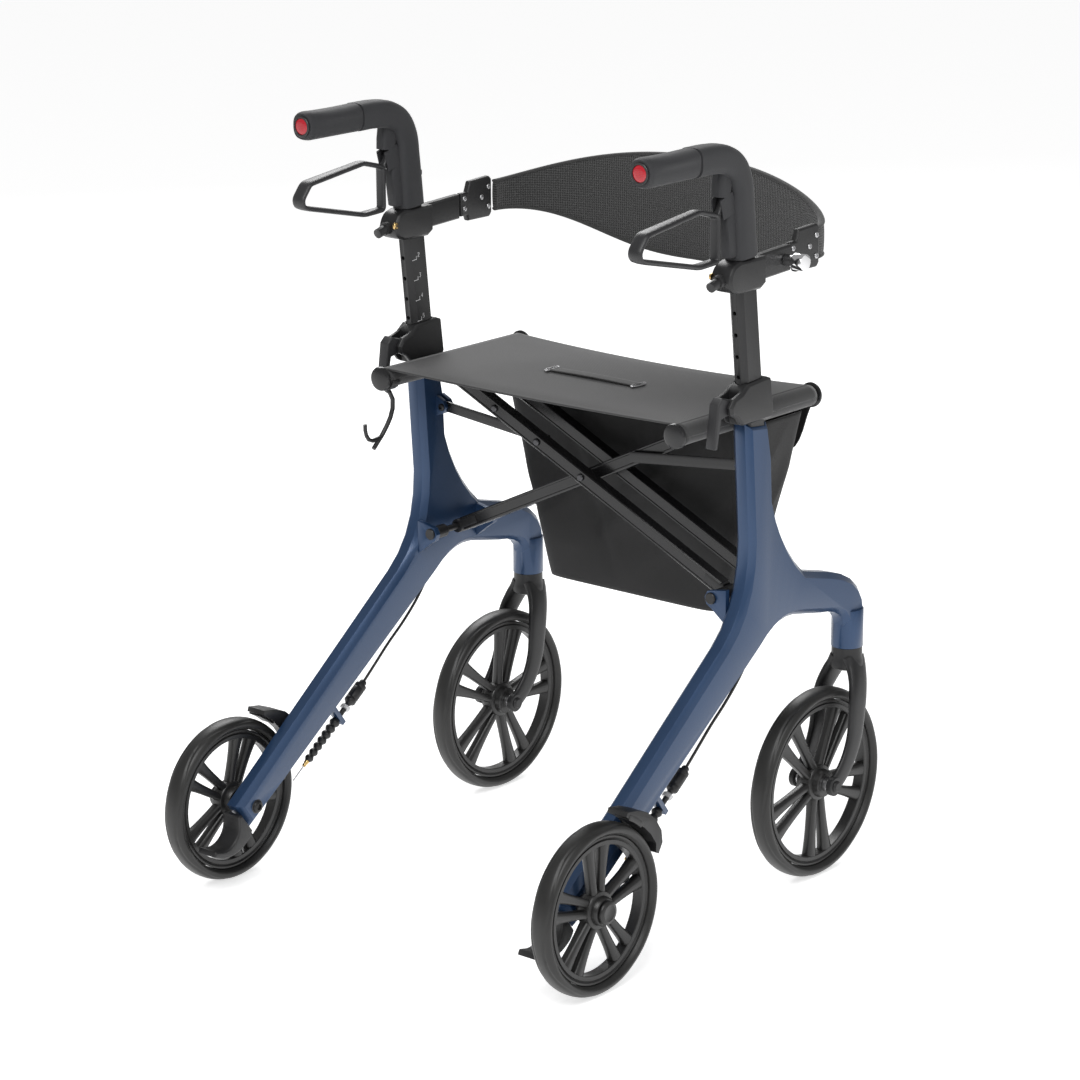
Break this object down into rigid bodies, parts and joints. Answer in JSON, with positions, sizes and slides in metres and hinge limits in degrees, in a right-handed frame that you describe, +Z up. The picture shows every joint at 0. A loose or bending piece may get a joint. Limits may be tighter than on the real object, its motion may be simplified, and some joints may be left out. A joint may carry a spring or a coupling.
{
  "type": "rollator",
  "caption": "Folding four-wheeled walking frame with swept side frames, sling seat, under-seat bag, curved backrest strap and loop brakes",
  "frame": {"origin": "on the floor, below the middle of the outline seen from above", "axes": "+Y is the way it is pushed, with the casters in front; +X is the user's right; +Z is up"},
  "size_m": [0.6168, 0.6758, 0.9233],
  "materials": {
    "blue_paint": "satin metallic blue paint",
    "black_paint": "black powder coat",
    "black_plastic": "fine textured black plastic",
    "grey_plastic": "matte dark grey plastic",
    "soft_grip": "soft matte grip",
    "tyre_rubber": "matte black rubber",
    "red_lens": "red reflector lens",
    "seat_fabric": "woven dark grey nylon",
    "bag_fabric": "black nylon",
    "strap_mesh": "ribbed black mesh",
    "chrome": "polished chrome",
    "cable_sheath": "dark cable sheath"
  },
  "bodies": {
    "right_frame": {"side_frame_right": "blue_paint", "post_clamp_right": "black_plastic", "rear_axle_right": "black_plastic", "brake_cable_right": "cable_sheath", "cable_adjuster_right": "black_plastic", "cable_boot_right": "black_plastic", "kerb_lever_right": "black_plastic", "brace_pin_right": "black_paint"},
    "left_frame": {"side_frame_left": "blue_paint", "post_clamp_left": "black_plastic", "rear_axle_left": "black_plastic", "brake_cable_left": "cable_sheath", "cable_adjuster_left": "black_plastic", "cable_boot_left": "black_plastic", "kerb_lever_left": "black_plastic", "brace_pin_left": "black_paint"},
    "brace_a": {"brace_a_rear": "black_paint", "brace_a_front": "black_paint", "seat_tube_left": "black_paint"},
    "cane_hook": {"cane_hook": "black_plastic"},
    "brace_b": {"brace_b": "black_paint", "seat_tube_right": "black_paint"},
    "seat": {"seat": "seat_fabric", "seat_pull_strap": "seat_fabric"},
    "bag": {"bag": "bag_fabric"},
    "handle_right": {"handle_post_right": "black_paint", "handle_body_right": "black_plastic", "grip_right": "soft_grip", "reflector_right": "red_lens", "backrest_bracket_right": "black_plastic", "backrest_hinge_right": "black_plastic", "backrest_strap": "strap_mesh"},
    "handle_left": {"handle_post_left": "black_paint", "handle_body_left": "black_plastic", "grip_left": "soft_grip", "reflector_left": "red_lens", "backrest_bracket_left": "black_plastic", "backrest_hinge_left": "black_plastic"},
    "release_pin": {"release_pin": "chrome"},
    "brake_lever_right": {"brake_lever_right": "black_plastic"},
    "clamp_lever_right": {"clamp_lever_right": "grey_plastic"},
    "brake_arm_right": {"brake_arm_right": "black_plastic"},
    "upper_link_right": {"upper_link_right": "black_paint"},
    "rear_wheel_right": {"rear_tyre_right": "tyre_rubber", "rear_rim_right": "black_plastic"},
    "fork_right": {"fork_right": "black_paint", "front_axle_right": "black_paint"},
    "front_wheel_right": {"front_tyre_right": "tyre_rubber", "front_rim_right": "black_plastic"},
    "brake_lever_left": {"brake_lever_left": "black_plastic"},
    "clamp_lever_left": {"clamp_lever_left": "grey_plastic"},
    "brake_arm_left": {"brake_arm_left": "black_plastic"},
    "upper_link_left": {"upper_link_left": "black_paint"},
    "rear_wheel_left": {"rear_tyre_left": "tyre_rubber", "rear_rim_left": "black_plastic"},
    "fork_left": {"fork_left": "black_paint", "front_axle_left": "black_paint"},
    "front_wheel_left": {"front_tyre_left": "tyre_rubber", "front_rim_left": "black_plastic"}
  },
  "joints": [
    {"name": "fold", "type": "hinge", "parent": "right_frame", "child": "brace_a", "pos_m": [0.2186, 0.08215, 0.3791], "axis": [0, 1, 0], "range_deg": [0, 49.8], "deforming": ["seat", "seat_pull_strap", "bag", "backrest_strap"]},
    {"name": "scissor", "type": "hinge", "parent": "brace_a", "child": "brace_b", "pos_m": [0, 0.10215, 0.48257], "axis": [0, 1, 0], "range_deg": [-99.6, 0]},
    {"name": "left_lug", "type": "hinge", "parent": "brace_b", "child": "left_frame", "pos_m": [-0.2186, 0.10215, 0.3791], "axis": [0, 1, 0], "range_deg": [0, 49.8]},
    {"name": "seat_level", "type": "hinge", "parent": "brace_a", "child": "seat", "pos_m": [-0.2255, 0.10215, 0.5893], "axis": [0, 1, 0], "range_deg": [-49.8, 0]},
    {"name": "hook_level", "type": "hinge", "parent": "brace_a", "child": "cane_hook", "pos_m": [-0.2255, -0.00985, 0.5893], "axis": [0, 1, 0], "range_deg": [-49.8, 0]},
    {"name": "bag_level", "type": "hinge", "parent": "brace_a", "child": "bag", "pos_m": [0, 0.20215, 0.48257], "axis": [0, 1, 0], "range_deg": [-49.8, 0]},
    {"name": "link_right", "type": "hinge", "parent": "right_frame", "child": "upper_link_right", "pos_m": [0.23, 0.10115, 0.5319], "axis": [0, 1, 0], "range_deg": [0, 75.3]},
    {"name": "link_left", "type": "hinge", "parent": "left_frame", "child": "upper_link_left", "pos_m": [-0.23, 0.10115, 0.5319], "axis": [0, 1, 0], "range_deg": [-75.3, 0]},
    {"name": "handle_height_right", "type": "slide", "parent": "right_frame", "child": "handle_right", "axis": [0, -0.1054, 0.9944], "range_m": [-0.1016, 0]},
    {"name": "handle_height_left", "type": "slide", "parent": "left_frame", "child": "handle_left", "axis": [0, -0.1054, 0.9944], "range_m": [-0.1016, 0]},
    {"name": "release_pin_pull", "type": "slide", "parent": "handle_right", "child": "release_pin", "axis": [1, 0, 0], "range_m": [0, 0.012], "stiffness_N_per_m": 300},
    {"name": "brake_squeeze_right", "type": "hinge", "parent": "handle_right", "child": "brake_lever_right", "pos_m": [0.253, 0.02915, 0.857], "axis": [-1, 0, 0], "range_deg": [0, 14], "stiffness_Nm_per_rad": 2},
    {"name": "brake_press_right", "type": "hinge", "parent": "right_frame", "child": "brake_arm_right", "pos_m": [0.2694, -0.13385, 0.15], "axis": [1, 0, 0], "range_deg": [0, 2.8]},
    {"name": "clamp_open_right", "type": "hinge", "parent": "right_frame", "child": "clamp_lever_right", "pos_m": [0.253, 0.04115, 0.6155], "axis": [-1, 0, 0], "range_deg": [0, 70], "stiffness_Nm_per_rad": 0.3},
    {"name": "rear_spin_right", "type": "hinge", "parent": "right_frame", "child": "rear_wheel_right", "pos_m": [0.2864, -0.23785, 0.1], "axis": [1, 0, 0], "continuous": true},
    {"name": "caster_right", "type": "hinge", "parent": "right_frame", "child": "fork_right", "pos_m": [0.253, 0.28215, 0.268], "axis": [0, 0, 1], "continuous": true},
    {"name": "front_spin_right", "type": "hinge", "parent": "fork_right", "child": "front_wheel_right", "pos_m": [0.253, 0.22085, 0.117], "axis": [1, 0, 0], "continuous": true},
    {"name": "brake_squeeze_left", "type": "hinge", "parent": "handle_left", "child": "brake_lever_left", "pos_m": [-0.253, 0.02915, 0.857], "axis": [-1, 0, 0], "range_deg": [0, 14], "stiffness_Nm_per_rad": 2},
    {"name": "brake_press_left", "type": "hinge", "parent": "left_frame", "child": "brake_arm_left", "pos_m": [-0.2694, -0.13385, 0.15], "axis": [1, 0, 0], "range_deg": [0, 2.8]},
    {"name": "clamp_open_left", "type": "hinge", "parent": "left_frame", "child": "clamp_lever_left", "pos_m": [-0.253, 0.04115, 0.6155], "axis": [-1, 0, 0], "range_deg": [0, 70], "stiffness_Nm_per_rad": 0.3},
    {"name": "rear_spin_left", "type": "hinge", "parent": "left_frame", "child": "rear_wheel_left", "pos_m": [-0.2864, -0.23785, 0.1], "axis": [1, 0, 0], "continuous": true},
    {"name": "caster_left", "type": "hinge", "parent": "left_frame", "child": "fork_left", "pos_m": [-0.253, 0.28215, 0.268], "axis": [0, 0, 1], "continuous": true},
    {"name": "front_spin_left", "type": "hinge", "parent": "fork_left", "child": "front_wheel_left", "pos_m": [-0.253, 0.22085, 0.117], "axis": [1, 0, 0], "continuous": true}
  ],
  "couplings": [
    {"joint": "scissor", "follows": "fold", "ratio": -2},
    {"joint": "left_lug", "follows": "fold", "ratio": 1},
    {"joint": "seat_level", "follows": "fold", "ratio": -1},
    {"joint": "hook_level", "follows": "fold", "ratio": -1},
    {"joint": "bag_level", "follows": "fold", "ratio": -1},
    {"joint": "link_right", "follows": "fold", "ratio": 1.512},
    {"joint": "link_left", "follows": "fold", "ratio": -1.512},
    {"joint": "handle_height_left", "follows": "handle_height_right", "ratio": 1},
    {"joint": "brake_press_right", "follows": "brake_squeeze_right", "ratio": 0.2},
    {"joint": "brake_press_left", "follows": "brake_squeeze_left", "ratio": 0.2}
  ]
}
